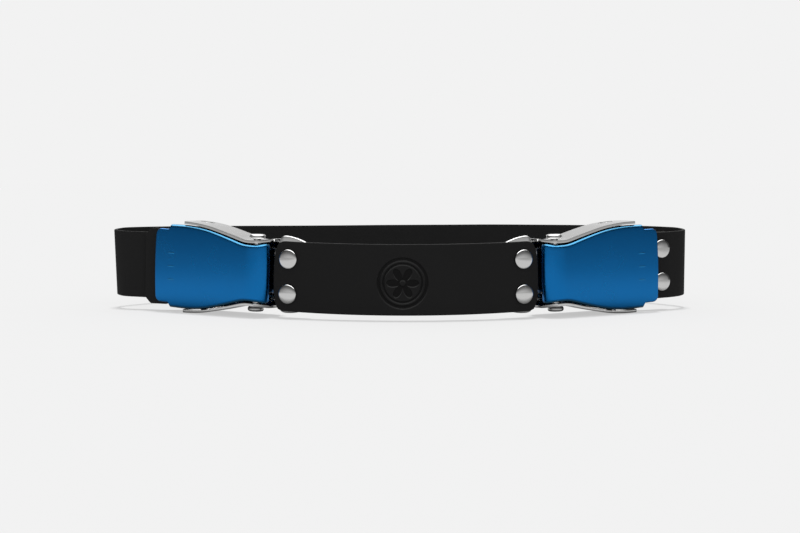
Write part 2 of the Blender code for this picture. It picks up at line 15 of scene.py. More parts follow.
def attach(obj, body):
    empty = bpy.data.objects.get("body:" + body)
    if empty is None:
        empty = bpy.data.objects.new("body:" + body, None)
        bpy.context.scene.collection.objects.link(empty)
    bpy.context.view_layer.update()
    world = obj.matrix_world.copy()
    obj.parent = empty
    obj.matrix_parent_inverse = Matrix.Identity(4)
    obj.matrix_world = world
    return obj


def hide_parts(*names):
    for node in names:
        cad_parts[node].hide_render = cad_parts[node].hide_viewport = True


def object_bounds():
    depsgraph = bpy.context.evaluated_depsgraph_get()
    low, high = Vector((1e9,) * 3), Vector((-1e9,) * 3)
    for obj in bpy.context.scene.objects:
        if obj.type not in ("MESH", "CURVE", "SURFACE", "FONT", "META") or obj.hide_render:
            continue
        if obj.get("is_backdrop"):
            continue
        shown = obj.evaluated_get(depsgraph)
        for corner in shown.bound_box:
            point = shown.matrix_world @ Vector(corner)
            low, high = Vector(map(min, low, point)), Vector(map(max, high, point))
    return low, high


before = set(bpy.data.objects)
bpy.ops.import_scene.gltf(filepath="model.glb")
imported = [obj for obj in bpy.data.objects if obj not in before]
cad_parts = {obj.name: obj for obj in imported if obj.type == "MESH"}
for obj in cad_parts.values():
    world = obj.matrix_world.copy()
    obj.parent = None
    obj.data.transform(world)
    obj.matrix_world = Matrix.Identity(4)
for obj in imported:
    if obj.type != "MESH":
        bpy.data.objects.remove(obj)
packed_box = [list(corner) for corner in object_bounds()]
MM = 0.001

# %% [markdown]
# ## Camera
# A 54 mm lens in front of the panel, a little above the belt and tipped down by
# a few degrees, sees the belt as the photograph does: the strap's far top edge
# shows above the panel, and the floor shows under it.

# %% Camera
camera_data = bpy.data.cameras.new("front_camera")
camera_data.lens = 54.0
camera_data.sensor_width = 36.0
camera_data.clip_start = 0.05
camera_data.clip_end = 20.0
camera = bpy.data.objects.new("front_camera", camera_data)
camera.location = (0.00025, -0.8948, 0.0971)
camera.rotation_euler = (math.radians(85.7), 0.0, 0.0)
bpy.context.scene.collection.objects.link(camera)
bpy.context.scene.camera = camera
bpy.context.scene.view_settings.view_transform = "Standard"
print("camera at", tuple(camera.location))

# %% [markdown]
# ## Shared measures
# Each buckle has its own frame of reference: X runs from the rounded nose to the
# tab, Y from the lever's face to the base plate, Z along the hinge pin. A piece
# is modelled in that frame and then placed at its side. The leather leans inwards
# by four degrees, and the belt as a whole is turned back by a little more, so
# that both buckles stand on their lower edges.

# %% Frames of reference
LEAN = math.radians(4.0)
MIDDLE_X = -0.25 * MM
FRONT_CENTRE_X = 4.0 * MM - MIDDLE_X
MIDDLE_Y = 92.7 * MM
BUCKLE_MID_Z = 33.455 * MM
STRAP_MID_Z = 32.455 * MM
BUCKLE_REACH = 103.2 * MM
BUCKLE_DEPTH = 27.0 * MM
BUCKLE_YAW = {-1: math.radians(30.0), 1: math.radians(28.0)}
PIN = Vector((9.5 * MM, 8.8 * MM, 0.0))
PIN_HOLE = 2.8 * MM
BAR_X, BAR_Y = 63.0 * MM, 18.0 * MM
BAR_RADIUS = 2.2 * MM
UP = Vector((0.0, 0.0, 1.0))
STAND = Matrix.Translation((0.0, 1.3 * MM, 2.0 * MM)) @ Matrix.Rotation(math.radians(4.2), 4, "X")
SIDES = ((-1, "left"), (1, "right"))


def buckle_frame_of(side):
    """The matrix from a buckle's own frame to the belt before it is stood up."""
    yaw = BUCKLE_YAW[side]
    along = Vector((side * math.cos(yaw), math.sin(yaw), 0.0))
    back = Vector((-side * math.sin(yaw), math.cos(yaw), 0.0))
    inward = back * math.cos(LEAN) - UP * math.sin(LEAN)
    turn = Matrix((along, inward, along.cross(inward))).transposed().to_4x4()
    pin_spot = Vector((FRONT_CENTRE_X + side * BUCKLE_REACH, BUCKLE_DEPTH - MIDDLE_Y, BUCKLE_MID_Z))
    return Matrix.Translation(pin_spot) @ turn @ Matrix.Translation(-PIN)


def buckle_place(side):
    """The matrix from a buckle's own frame to the standing belt."""
    return STAND @ buckle_frame_of(side)


for side, word in SIDES:
    seen = (buckle_place(side) @ PIN) / MM
    print(word, "hinge pin at", [round(v, 1) for v in seen], "mm")

# %% [markdown]
# ## Bench tools
# A few hand moves come up again and again: lay a sheet, give it its wall, round
# its edges, drill a hole, turn a part on the lathe, put the finished piece in its
# place. Each one gets a short helper.

# %% Bench tools
CUTTER_LENGTH = 80 * MM
DOUBLES = 0.000002
SKINS = {}


def deselect_all():
    if bpy.context.object and bpy.context.object.mode != "OBJECT":
        bpy.ops.object.mode_set(mode="OBJECT")
    bpy.ops.object.select_all(action="DESELECT")


def take(piece):
    """Makes one piece the selected and active one."""
    deselect_all()
    piece.select_set(True)
    bpy.context.view_layer.objects.active = piece


def new_piece(name):
    """Names the piece that a primitive has just made."""
    piece = bpy.context.object
    piece.name = name
    piece.data.name = name
    return piece


def apply_modifier(piece, kind, **settings):
    take(piece)
    made = piece.modifiers.new(kind.lower(), kind)
    for name, value in settings.items():
        setattr(made, name, value)
    bpy.ops.object.modifier_apply(modifier=made.name)


def finish_piece(piece, place, body, node, finish, angle=35.0):
    """Puts a piece in its place for good, smooths its faces and ties it to its body and node."""
    piece.matrix_world = place
    if len(piece.data.materials) == 0:
        piece.data.materials.append(SKINS[finish])
    take(piece)
    bpy.ops.object.transform_apply(location=True, rotation=True, scale=True)
    bpy.ops.object.shade_smooth_by_angle(angle=math.radians(angle))
    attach(piece, body)
    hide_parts(node)
    print(piece.name, len(piece.data.polygons), "faces")


def outward(piece):
    """Merges doubles and turns all faces outwards."""
    take(piece)
    bpy.ops.object.mode_set(mode="EDIT")
    bpy.ops.mesh.select_all(action="SELECT")
    bpy.ops.mesh.remove_doubles(threshold=DOUBLES)
    bpy.ops.mesh.normals_make_consistent(inside=False)
    bpy.ops.object.mode_set(mode="OBJECT")


def give_wall(sheet, thickness, offset, **more):
    """Turns a sheet into a wall of one thickness."""
    apply_modifier(sheet, "SOLIDIFY", thickness=thickness, offset=offset, use_even_offset=True, **more)
    outward(sheet)


def round_edges(piece, width, segments, sharper_than):
    """Bevels the edges that turn by more than an angle in degrees."""
    apply_modifier(piece, "BEVEL", width=width, segments=segments, limit_method="ANGLE",
                   angle_limit=math.radians(sharper_than), harden_normals=False)


def lay_sheet(name, columns, rows, spot, chart=None):
    """A grid primitive laid on the surface that spot(column, row) describes, both counted from 0.

    A chart gives each point its place on the flat leather or metal, in centimetres, as the UV map.
    """
    deselect_all()
    bpy.ops.mesh.primitive_grid_add(x_subdivisions=columns, y_subdivisions=rows, size=1.0)
    sheet = new_piece(name)
    places = [(round((v.co.x + 0.5) * columns), round((v.co.y + 0.5) * rows))
              for v in sheet.data.vertices]
    for vertex, (column, row) in zip(sheet.data.vertices, places):
        vertex.co = spot(column, row)
    if chart:
        layer = sheet.data.uv_layers.active
        for loop in sheet.data.loops:
            layer.data[loop.index].uv = chart(*places[loop.vertex_index])
    return sheet


def turn_on_lathe(name, profile, steps=48):
    """Extrudes a profile of (radius, height) points from one vertex and spins it round Z."""
    deselect_all()
    bpy.ops.mesh.primitive_plane_add(size=1.0)
    piece = new_piece(name)
    bpy.ops.object.mode_set(mode="EDIT")
    bpy.ops.mesh.select_all(action="SELECT")
    bpy.ops.mesh.merge(type="CENTER")
    radius, height = profile[0]
    bpy.ops.transform.translate(value=(radius, 0.0, height))
    for (r0, h0), (r1, h1) in zip(profile, profile[1:]):
        bpy.ops.mesh.extrude_vertices_move(TRANSFORM_OT_translate={"value": (r1 - r0, 0.0, h1 - h0)})
    bpy.ops.mesh.select_all(action="SELECT")
    bpy.ops.mesh.spin(steps=steps, angle=math.tau, center=(0.0, 0.0, 0.0), axis=(0.0, 0.0, 1.0))
    bpy.ops.object.mode_set(mode="OBJECT")
    outward(piece)
    return piece


def copy_of(piece, name):
    made = piece.copy()
    made.data = piece.data.copy()
    made.name = name
    made.data.name = name
    bpy.context.scene.collection.objects.link(made)
    return made


def round_cutter(radius):
    """A long cylinder primitive for cutting holes."""
    deselect_all()
    bpy.ops.mesh.primitive_cylinder_add(vertices=48, radius=radius, depth=CUTTER_LENGTH)
    return bpy.context.object


def cut_away(piece, cutter):
    """Takes the cutter's volume out of the piece and puts the cutter away."""
    apply_modifier(piece, "BOOLEAN", operation="DIFFERENCE", solver="EXACT", object=cutter)
    bpy.data.objects.remove(cutter, do_unlink=True)


def drill_for_pin(piece):
    bit = round_cutter(PIN_HOLE)
    bit.matrix_world = Matrix.Translation(PIN)
    cut_away(piece, bit)


print("bench ready")

# %% [markdown]
# ## Lines through measured points
# The outline of a buckle and the path of the strap are known at a few points
# each. A smooth curve through them gives as many stations as a piece needs.

# %% Smooth lines
def smooth_share(value):
    value = min(max(value, 0.0), 1.0)
    return value * value * (3.0 - 2.0 * value)


def read_table(table, x):
    """Smooth value at x of a table of (x, value) rows in millimetres."""
    rows = [(a * MM, b * MM) for a, b in table]
    if x <= rows[0][0]:
        return rows[0][1]
    if x >= rows[-1][0]:
        return rows[-1][1]
    i = next(k for k in range(len(rows) - 1) if x <= rows[k + 1][0])

    def slope(k):
        low, high = rows[max(k - 1, 0)], rows[min(k + 1, len(rows) - 1)]
        return (high[1] - low[1]) / (high[0] - low[0])

    (x0, y0), (x1, y1) = rows[i], rows[i + 1]
    span = x1 - x0
    t = (x - x0) / span
    return ((2 * t**3 - 3 * t**2 + 1) * y0 + (t**3 - 2 * t**2 + t) * slope(i) * span
            + (3 * t**2 - 2 * t**3) * y1 + (t**3 - t**2) * slope(i + 1) * span)


def stations(points, step):
    """Evenly spaced points, a step apart or a little less, on a curve through the given ones."""
    dense = []
    for i in range(len(points) - 1):
        p0, p1, p2 = points[max(i - 1, 0)], points[i], points[i + 1]
        p3 = points[min(i + 2, len(points) - 1)]
        for k in range(24):
            t = k / 24
            dense.append(0.5 * (2 * p1 + (p2 - p0) * t + (2 * p0 - 5 * p1 + 4 * p2 - p3) * t**2
                                + (3 * p1 - p0 - 3 * p2 + p3) * t**3))
    dense.append(points[-1].copy())
    return space_out(dense, step)


def space_out(dense, step):
    """Evenly spaced points along a line of closely set ones."""
    lengths = running_length(dense)
    count = max(2, math.ceil(lengths[-1] / step))
    made = []
    i = 0
    for k in range(count + 1):
        wanted = lengths[-1] * k / count
        while i < len(dense) - 2 and lengths[i + 1] < wanted:
            i += 1
        made.append(dense[i].lerp(dense[i + 1], (wanted - lengths[i]) / (lengths[i + 1] - lengths[i])))
    return made


def running_length(line):
    """How far along the line each of its points lies."""
    lengths = [0.0]
    for a, b in zip(line, line[1:]):
        lengths.append(lengths[-1] + (b - a).length)
    return lengths


BUCKLE_OUTLINE = (
    (-0.5, 20.9), (1.5, 20.5), (5.0, 19.9), (11.0, 19.7), (15.5, 20.0), (20.0, 21.0), (25.0, 22.4),
    (32.0, 24.3), (39.0, 26.1), (46.0, 27.7), (53.0, 28.8), (60.0, 29.5), (68.0, 29.9), (82.0, 29.8),
)
print("half height at the nose and at the shoulder:", read_table(BUCKLE_OUTLINE, 0.0) / MM, "and",
      round(read_table(BUCKLE_OUTLINE, 68 * MM) / MM, 1), "mm")

# %% [markdown]
# ## Shader helpers
# The surfaces are built from a few kinds of node. Each helper adds one of them
# and fills its sockets with plain values or links.

# %% Shader helpers
def new_group(name, inputs, outputs):
    group = bpy.data.node_groups.new(name, "ShaderNodeTree")
    for label, kind, value in inputs:
        socket = group.interface.new_socket(name=label, in_out="INPUT", socket_type=kind)
        if value is not None:
            socket.default_value = value
    for label, kind in outputs:
        group.interface.new_socket(name=label, in_out="OUTPUT", socket_type=kind)
    start = group.nodes.new("NodeGroupInput")
    end = group.nodes.new("NodeGroupOutput")
    return group, start, end


def fill(tree, socket, value):
    """Links a socket to another one, or gives it a plain value."""
    if isinstance(value, bpy.types.NodeSocket):
        tree.links.new(value, socket)
    elif socket.type == "RGBA":
        socket.default_value = (*value, 1.0)
    else:
        socket.default_value = value


def add_node(tree, kind, **values):
    """Adds a node. A value named in_Scale fills its socket Scale, any other is a setting."""
    node = tree.nodes.new(kind)
    for name, value in values.items():
        if name.startswith("in_"):
            fill(tree, node.inputs[name[3:].replace("_", " ")], value)
        else:
            setattr(node, name, value)
    return node


def maths(tree, operation, *values, kind="ShaderNodeMath"):
    node = add_node(tree, kind, operation=operation)
    for socket, value in zip(node.inputs, values):
        fill(tree, socket, value)
    return node.outputs[0]


def vector_maths(tree, operation, *values):
    return maths(tree, operation, *values, kind="ShaderNodeVectorMath")


def ranged(tree, source, start, end, low, high, kind="SMOOTHSTEP"):
    """Maps the stretch from start to end of a value onto low to high."""
    node = add_node(tree, "ShaderNodeMapRange", interpolation_type=kind)
    for label, value in (("From Min", start), ("From Max", end), ("To Min", low), ("To Max", high)):
        node.inputs[label].default_value = value
    tree.links.new(source, node.inputs["Value"])
    return node.outputs["Result"]


def step_down(tree, value, start, end):
    """1 below start, 0 above end, with a soft step between."""
    return ranged(tree, value, start, end, 1.0, 0.0)


def mix(tree, factor, first, second, data_type="RGBA"):
    """Blends from the first to the second colour (RGBA) or value (FLOAT)."""
    node = add_node(tree, "ShaderNodeMix", data_type=data_type)
    place = {"FLOAT": 2, "RGBA": 6}[data_type]
    fill(tree, node.inputs[0], factor)
    fill(tree, node.inputs[place], first)
    fill(tree, node.inputs[place + 1], second)
    return node.outputs[{"FLOAT": 0, "RGBA": 2}[data_type]]


def bump(tree, height, strength, distance, **more):
    return add_node(tree, "ShaderNodeBump", in_Height=height, in_Strength=strength,
                    in_Distance=distance, **more)


print("shader helpers ready")

# %% [markdown]
# ## Shared surface effects
# Leather has a fine grain and dark cut edges, and handled metal has fine
# scratches and a faint unevenness. The panel's stamp, the lever's grip bars and
# the painted highlight along its folded-back edges are drawn on the flat chart
# that each sheet carries, in centimetres. Each effect is a node group that puts
# out only masks or values, so that every material can use it at its own scale.

# %% Grain and scratches
def leather_grain():
    """Small closed cells with soft creases between them, and slower colour clouds."""
    group, start, end = new_group(
        "leather grain",
        [("Coordinates", "NodeSocketVector", None), ("Cell", "NodeSocketFloat", 900.0)],
        [("Height", "NodeSocketFloat"), ("Clouds", "NodeSocketFloat")])
    where = start.outputs["Coordinates"]
    bend = add_node(group, "ShaderNodeTexNoise", in_Vector=where, in_Scale=220.0, in_Detail=2.0)
    fine = add_node(group, "ShaderNodeTexNoise", in_Vector=where, in_Scale=2600.0, in_Detail=3.0)
    clouds = add_node(group, "ShaderNodeTexNoise", in_Vector=where, in_Scale=28.0, in_Detail=4.0)
    bent = vector_maths(group, "MULTIPLY_ADD", bend.outputs["Color"], (0.0012, 0.0012, 0.0012), where)
    cells = add_node(group, "ShaderNodeTexVoronoi", feature="SMOOTH_F1", in_Smoothness=0.5, in_Vector=bent,
                     in_Scale=start.outputs["Cell"])
    total = maths(group, "MULTIPLY_ADD", fine.outputs["Fac"], 0.35, cells.outputs["Distance"])
    group.links.new(total, end.inputs["Height"])
    group.links.new(clouds.outputs["Fac"], end.inputs["Clouds"])
    return group


def fine_scratches():
    """Short hair lines along one direction, and soft patches of handling."""
    group, start, end = new_group(
        "fine scratches",
        [("Coordinates", "NodeSocketVector", None),
         ("Stretch", "NodeSocketVector", (40.0, 2500.0, 2500.0))],
        [("Lines", "NodeSocketFloat"), ("Patches", "NodeSocketFloat")])
    where = start.outputs["Coordinates"]
    drawn_out = vector_maths(group, "MULTIPLY", where, start.outputs["Stretch"])
    lines = add_node(group, "ShaderNodeTexNoise", in_Vector=drawn_out, in_Scale=1.0, in_Detail=3.0)
    patches = add_node(group, "ShaderNodeTexNoise", in_Vector=where, in_Scale=45.0, in_Detail=3.0)
    group.links.new(lines.outputs["Fac"], end.inputs["Lines"])
    group.links.new(patches.outputs["Fac"], end.inputs["Patches"])
    return group


GRAIN = leather_grain()
SCRATCHES = fine_scratches()
print("effect groups:", GRAIN.name, "and", SCRATCHES.name)

# %% Effects drawn on the flat chart
BELT_HALF_WIDTH = 2.4
STAMP_MIDDLE = (-0.22, -0.2)
STAMP_RINGS = ((1.62, 0.09), (1.30, 0.05))
PETAL_BASE, PETAL_WAVE = 0.28, 0.80
GRIP_X, GRIP_LEVELS = 7.85, (-0.95, 0.0, 0.95)
TAB_START, BEYOND_TAB = 8.24, 4.2
CURVE_SPAN = 10.0


def chart_group(name, output, *more_inputs):
    """A group with one output that starts from the chart's two axes."""
    group, start, end = new_group(name, [("Chart", "NodeSocketVector", None), *more_inputs],
                                  [(output, "NodeSocketFloat")])
    parts = group.nodes.new("ShaderNodeSeparateXYZ")
    group.links.new(start.outputs["Chart"], parts.inputs["Vector"])
    return group, start, end.inputs[output], parts.outputs["X"], parts.outputs["Y"]


def cut_edge():
    """1 on the cut edge of a strip, 0 on its face, from the distance across it."""
    width = ("Half Width", "NodeSocketFloat", BELT_HALF_WIDTH)
    group, start, out, x, y = chart_group("cut edge", "Mask", width)
    inside = maths(group, "SUBTRACT", start.outputs["Half Width"], maths(group, "ABSOLUTE", y))
    group.links.new(step_down(group, inside, 0.004, 0.035), out)
    return group


def pressed_rosette():
    """A rosette of six petals inside two rings, as a stamp presses it into leather."""
    group, start, out, x, y = chart_group("pressed rosette", "Depth")
    across = maths(group, "SUBTRACT", x, STAMP_MIDDLE[0])
    up = maths(group, "SUBTRACT", y, STAMP_MIDDLE[1])
    squares = [maths(group, "MULTIPLY", axis, axis) for axis in (across, up)]
    radius = maths(group, "SQRT", maths(group, "ADD", *squares))
    turn = maths(group, "MULTIPLY", maths(group, "ARCTAN2", up, across), 3.0)
    wave = maths(group, "ABSOLUTE", maths(group, "COSINE", turn))
    reach = maths(group, "MULTIPLY_ADD", wave, PETAL_WAVE, PETAL_BASE)
    petals = step_down(group, maths(group, "SUBTRACT", radius, reach), -0.05, 0.05)
    total = maths(group, "SUBTRACT", petals, step_down(group, radius, 0.16, 0.24))
    for middle, half in STAMP_RINGS:
        away = maths(group, "ABSOLUTE", maths(group, "SUBTRACT", radius, middle))
        total = maths(group, "MAXIMUM", total, step_down(group, away, half - 0.04, half + 0.05))
    group.links.new(total, out)
    return group


def grip_bars():
    """Three short raised bars across the tab, where a thumb lifts it."""
    group, start, out, x, y = chart_group("grip bars", "Height")
    along = maths(group, "ABSOLUTE", maths(group, "SUBTRACT", x, GRIP_X))
    total = 0.0
    for level in GRIP_LEVELS:
        away = maths(group, "ABSOLUTE", maths(group, "SUBTRACT", y, level))
        total = maths(group, "ADD", step_down(group, away, 0.012, 0.055), total)
    group.links.new(maths(group, "MULTIPLY", step_down(group, along, 0.22, 0.30), total), out)
    return group


# Mask for a painted highlight: the lever's long folded edges are coloured a paler blue.
def painted_fold_highlight_mask():
    """1 where the cover's long edges fold back, 0 on its face and its tab.

    A curve gives the cover's half height along it. At the tab it runs far outside the metal.
    """
    group, start, out, x, y = chart_group("painted fold highlight", "Mask")
    places = [(0.0, 2.09)] + [(along / 10.0, half / 10.0) for along, half in BUCKLE_OUTLINE[1:]]
    places += [(TAB_START, BEYOND_TAB)]
    outline = group.nodes.new("ShaderNodeFloatCurve")
    points = outline.mapping.curves[0].points
    points[0].location = (0.0, places[0][1] / CURVE_SPAN)
    points[1].location = (1.0, BEYOND_TAB / CURVE_SPAN)
    for along, half in places[1:]:
        points.new(along / CURVE_SPAN, half / CURVE_SPAN)
    for point in points:
        point.handle_type = "VECTOR"
    outline.mapping.update()
    group.links.new(maths(group, "MULTIPLY", x, 1.0 / CURVE_SPAN), outline.inputs["Value"])
    half = maths(group, "MULTIPLY", outline.outputs["Value"], CURVE_SPAN)
    inside = maths(group, "SUBTRACT", half, maths(group, "ABSOLUTE", y))
    group.links.new(step_down(group, inside, 0.10, 0.17), out)
    return group


EDGE = cut_edge()
ROSETTE = pressed_rosette()
GRIPS = grip_bars()
FOLD_HIGHLIGHT_MASK = painted_fold_highlight_mask()
print("effect groups:", [group.name for group in bpy.data.node_groups])

# %% [markdown]
# ## Black leather
# The leather is smooth, dyed through and only slightly glossy, so it is nearly
# black with a faint grain that shows where light grazes it. The clouds change
# its colour by a few percent, and the bump stays a few hundredths of a millimetre.
# The stamp presses the panel's rosette in, and its pressed ground is coloured darker.
# A thin paler line is painted along each lower edge of the rosette as a highlight, where the light catches
# it.

# %% Leather material
def new_material(name):
    made = bpy.data.materials.new(name)
    made.use_nodes = True
    tree = made.node_tree
    return made, tree, tree.nodes["Principled BSDF"], tree.nodes.new("ShaderNodeTexCoord")


def effect(tree, group, coordinates):
    """Uses an effect group at some coordinates and hands back its outputs."""
    node = add_node(tree, "ShaderNodeGroup", node_tree=group)
    tree.links.new(coordinates, node.inputs[0])
    return node.outputs


def set_inputs(tree, shader, values):
    for label, value in values.items():
        fill(tree, shader.inputs[label], value)


def cloudy(tree, clouds, low, high):
    """A value between low and high that follows the middle range of a noise."""
    return ranged(tree, clouds, 0.3, 0.7, low, high, "LINEAR")


def leather_material(name, dark, light, rough, stamped=False):
    made, tree, shader, where = new_material(name)
    grain = effect(tree, GRAIN, where.outputs["Object"])
    edge = effect(tree, EDGE, where.outputs["UV"])["Mask"]
    tint = mix(tree, grain["Clouds"], dark, light)
    tint = mix(tree, edge, tint, [0.45 * value for value in dark])
    gloss = cloudy(tree, grain["Clouds"], rough - 0.05, rough + 0.06)
    gloss = maths(tree, "MULTIPLY_ADD", edge, -0.16, gloss)
    skin = bump(tree, grain["Height"], 0.35, 0.00003)
    if stamped:
        stamp = effect(tree, ROSETTE, where.outputs["UV"])["Depth"]
        press = bump(tree, stamp, 1.0, 0.0009, invert=True)
        tree.links.new(press.outputs["Normal"], skin.inputs["Normal"])
        ground = maths(tree, "MULTIPLY", stamp, 0.75)
        tint = mix(tree, ground, tint, [0.35 * value for value in dark])
        # Painted highlight: a thin paler line along the rosette's lower edges.
        below = vector_maths(tree, "ADD", where.outputs["UV"], (0.0, 0.055, 0.0))
        painted_lip_highlight = maths(tree, "SUBTRACT", effect(tree, ROSETTE, below)["Depth"], stamp)
        painted_lip_highlight.node.use_clamp = True
        tint = mix(tree, painted_lip_highlight, tint, (0.045, 0.045, 0.045))
        gloss = maths(tree, "MULTIPLY_ADD", stamp, -0.12, gloss)
    set_inputs(tree, shader, {"Base Color": tint, "Roughness": gloss, "Normal": skin.outputs["Normal"],
                              "Specular IOR Level": 0.06})
    return made


LEATHER = leather_material("smooth_black_leather", (0.0106, 0.0106, 0.0107), (0.0136, 0.0135, 0.0136), 0.66)
STAMPED = leather_material("stamped_black_leather", (0.0098, 0.0098, 0.0099), (0.0124, 0.0123, 0.0124),
                           0.64, stamped=True)
SKINS["black_leather"] = LEATHER
print("leather ready")

# %% [markdown]
# ## Blue anodised aluminium and polished steel
# Anodising dyes the oxide skin on brushed aluminium, so the levers are a metal
# with a blue tint and a satin surface. A paler blue is painted along the folded
# long edges as their highlight, and the grip bars are paler too. The frames,
# pins, links and rivets are polished: nearly mirror-like, with hair lines that break the reflections.

# %% Metal materials
# Painted highlight colour for the folded long edges.
FOLD_HIGHLIGHT_BLUE = (0.046, 0.20, 0.345)
# A paler blue for the grip bars.
PALER_GRIP_BLUE = (0.05, 0.34, 0.66)


def metal_material(name, dark, light, rough, line_depth, stretch, gripped=False):
    made, tree, shader, where = new_material(name)
    lines = effect(tree, SCRATCHES, where.outputs["Object"])
    lines["Lines"].node.inputs["Stretch"].default_value = stretch
    tint = mix(tree, lines["Patches"], dark, light)
    gloss = cloudy(tree, lines["Patches"], rough * 0.88, rough * 1.15)
    hair = bump(tree, lines["Lines"], 0.25, line_depth)
    if gripped:
        bars = effect(tree, GRIPS, where.outputs["UV"])["Height"]
        fold = effect(tree, FOLD_HIGHLIGHT_MASK, where.outputs["UV"])["Mask"]
        # The grip bars are coloured a paler blue.
        tint = mix(tree, maths(tree, "MULTIPLY", bars, 0.55), tint, PALER_GRIP_BLUE)
        # Painted highlight: the folded long edges get a paler blue, standing in for the bright ceiling's
        # reflection.
        tint = mix(tree, fold, tint, FOLD_HIGHLIGHT_BLUE)
        raised = bump(tree, bars, 1.0, 0.00012)
        tree.links.new(raised.outputs["Normal"], hair.inputs["Normal"])
        set_inputs(tree, shader, {"Coat Weight": 0.18, "Coat Roughness": 0.12})
    set_inputs(tree, shader, {"Base Color": tint, "Roughness": gloss, "Normal": hair.outputs["Normal"],
                              "Metallic": 1.0})
    return made


SKINS["blue_anodised"] = metal_material(
    "blue_anodised_satin", (0.0008, 0.138, 0.405), (0.0014, 0.154, 0.440), 0.25, 0.000004,
    (60.0, 60.0, 3200.0), gripped=True)
SKINS["polished_steel"] = metal_material(
    "polished_steel_skin", (0.57, 0.57, 0.565), (0.62, 0.62, 0.615), 0.10, 0.000002, (900.0, 900.0, 900.0))
print("finishes:", sorted(SKINS))

# %% [markdown]
# ## The lever
# The lever is one pressed sheet: a slightly domed, wavy-sided cover with its long
# edges folded back, a narrower flat tab to lift it by, and a nose rolled round
# the hinge. A grid gives the sheet, with extra columns at the step of the tab and
# round the nose, and Solidify gives it its wall.

# %% Lever outline
TAB_END = 93.0 * MM
SHOULDER = 82.0 * MM
TAB_HALF = 26.4 * MM
TAB_CORNER = 4.0 * MM
FOLD_RADIUS = 2.4 * MM
TAB_FOLD = 0.9 * MM
NOSE_ROUND = (14.0 * MM, 8.0 * MM)
NOSE_X = -0.5 * MM
COVER_WALL = 1.5 * MM
CROWN = 1.5 * MM
CROWN_LIFT = 0.6 * MM
CROWN_SPAN = 29.8 * MM
EAR_START, EAR_END, EAR_DEPTH = 4.3 * MM, 13.7 * MM, 13.4 * MM
SKIRT_DEPTH = 4.6 * MM
SKIRT_LIP = 0.4 * MM


def cover_half(x):
    """Half height of the cover at a place along the buckle."""
    if x <= SHOULDER:
        return read_table(BUCKLE_OUTLINE, x)
    into = max(0.0, x - (TAB_END - TAB_CORNER)) / TAB_CORNER
    return TAB_HALF - TAB_CORNER * (1.0 - math.sqrt(max(0.0, 1.0 - into**2))) * 0.75


def skirt(x):
    """How far the folded side reaches back, from the face. The ears go furthest, round the pin."""
    if x > SHOULDER - 4.0 * MM or x < EAR_START:
        return 0.0
    return EAR_DEPTH if x < EAR_END else SKIRT_DEPTH


def cover_stations():
    """Places along the cover with the direction to its back, from the tab to the nose's end."""
    xs = [TAB_END - TAB_CORNER * k / 8 for k in range(9)]
    xs += [87.2 * MM, 85.6 * MM, 84.0 * MM, SHOULDER + 0.5 * MM, SHOULDER]
    xs += [80.6 * MM - 1.4 * MM * k for k in range(46)]
    xs += [15.2 * MM, 14.3 * MM]
    line = [(Vector((x, 0.0, 0.0)), Vector((0.0, 1.0, 0.0))) for x in xs]
    centre = Vector((NOSE_X + NOSE_ROUND[0], NOSE_ROUND[1], 0.0))
    for k in range(25):
        angle = math.radians(3.75 * k)
        sine, cosine = math.sin(angle), math.cos(angle)
        point = centre - Vector((NOSE_ROUND[0] * sine, NOSE_ROUND[1] * cosine, 0.0))
        inward = Vector((sine / NOSE_ROUND[0], cosine / NOSE_ROUND[1], 0.0)).normalized()
        line.append((point, inward))
    for beyond in (0.8 * MM, 1.6 * MM):
        line.append((centre + Vector((-NOSE_ROUND[0], beyond, 0.0)), Vector((1.0, 0.0, 0.0))))
    return line


COVER_LINE = cover_stations()
print("cover stations:", len(COVER_LINE))

# %% Lever sheet
FOLD_STEPS = 6
FACE_ROWS = 20


def cover_rows():
    """Rows across one half of the sheet: skirt, fold and face, as (kind, share)."""
    rows = [("skirt", 1.0), ("skirt", 0.66), ("skirt", 0.33)]
    rows += [("fold", k / FOLD_STEPS) for k in range(FOLD_STEPS + 1)]
    rows += [("face", 1.0 - k / (FACE_ROWS / 2)) for k in range(1, FACE_ROWS // 2 + 1)]
    return rows


COVER_ROWS = cover_rows()


def crown_at(level):
    """How far the slightly domed face falls back at a height above its middle."""
    return CROWN * (level / CROWN_SPAN) ** 2 - CROWN_LIFT


def cover_spot(column, row):
    point, inward = COVER_LINE[column]
    middle_row = len(COVER_ROWS) - 1
    sign = -1.0 if row < middle_row else 1.0
    kind, share = COVER_ROWS[middle_row - abs(row - middle_row)]
    half = cover_half(point.x)
    bend = TAB_FOLD if point.x > SHOULDER else FOLD_RADIUS
    flat_half = half - bend
    if kind == "face":
        return point + inward * crown_at(flat_half * share) + UP * sign * flat_half * share
    edge_point = point + inward * crown_at(flat_half)
    if kind == "fold":
        angle = share * math.pi / 2
        deep, wide = bend * (1.0 - math.sin(angle)), flat_half + bend * math.cos(angle)
        return edge_point + inward * deep + UP * sign * wide
    edge = edge_point + inward * bend + UP * sign * half
    if point.x > EAR_START:
        return edge + Vector((0.0, max(skirt(point.x) - edge.y, SKIRT_LIP) * share, 0.0))
    return edge + inward * SKIRT_LIP * share


def cover_chart(column, row):
    spot = cover_spot(column, row)
    return spot.x * 100.0, spot.z * 100.0


def model_lever():
    rows = 2 * (len(COVER_ROWS) - 1)
    lever = lay_sheet("lever_skin", len(COVER_LINE) - 1, rows, cover_spot, cover_chart)
    give_wall(lever, COVER_WALL, 1.0)
    drill_for_pin(lever)
    round_edges(lever, 0.25 * MM, 2, 50.0)
    return lever


lever_pattern = model_lever()
print("lever pattern:", [round(v / MM, 1) for v in lever_pattern.dimensions], "mm")

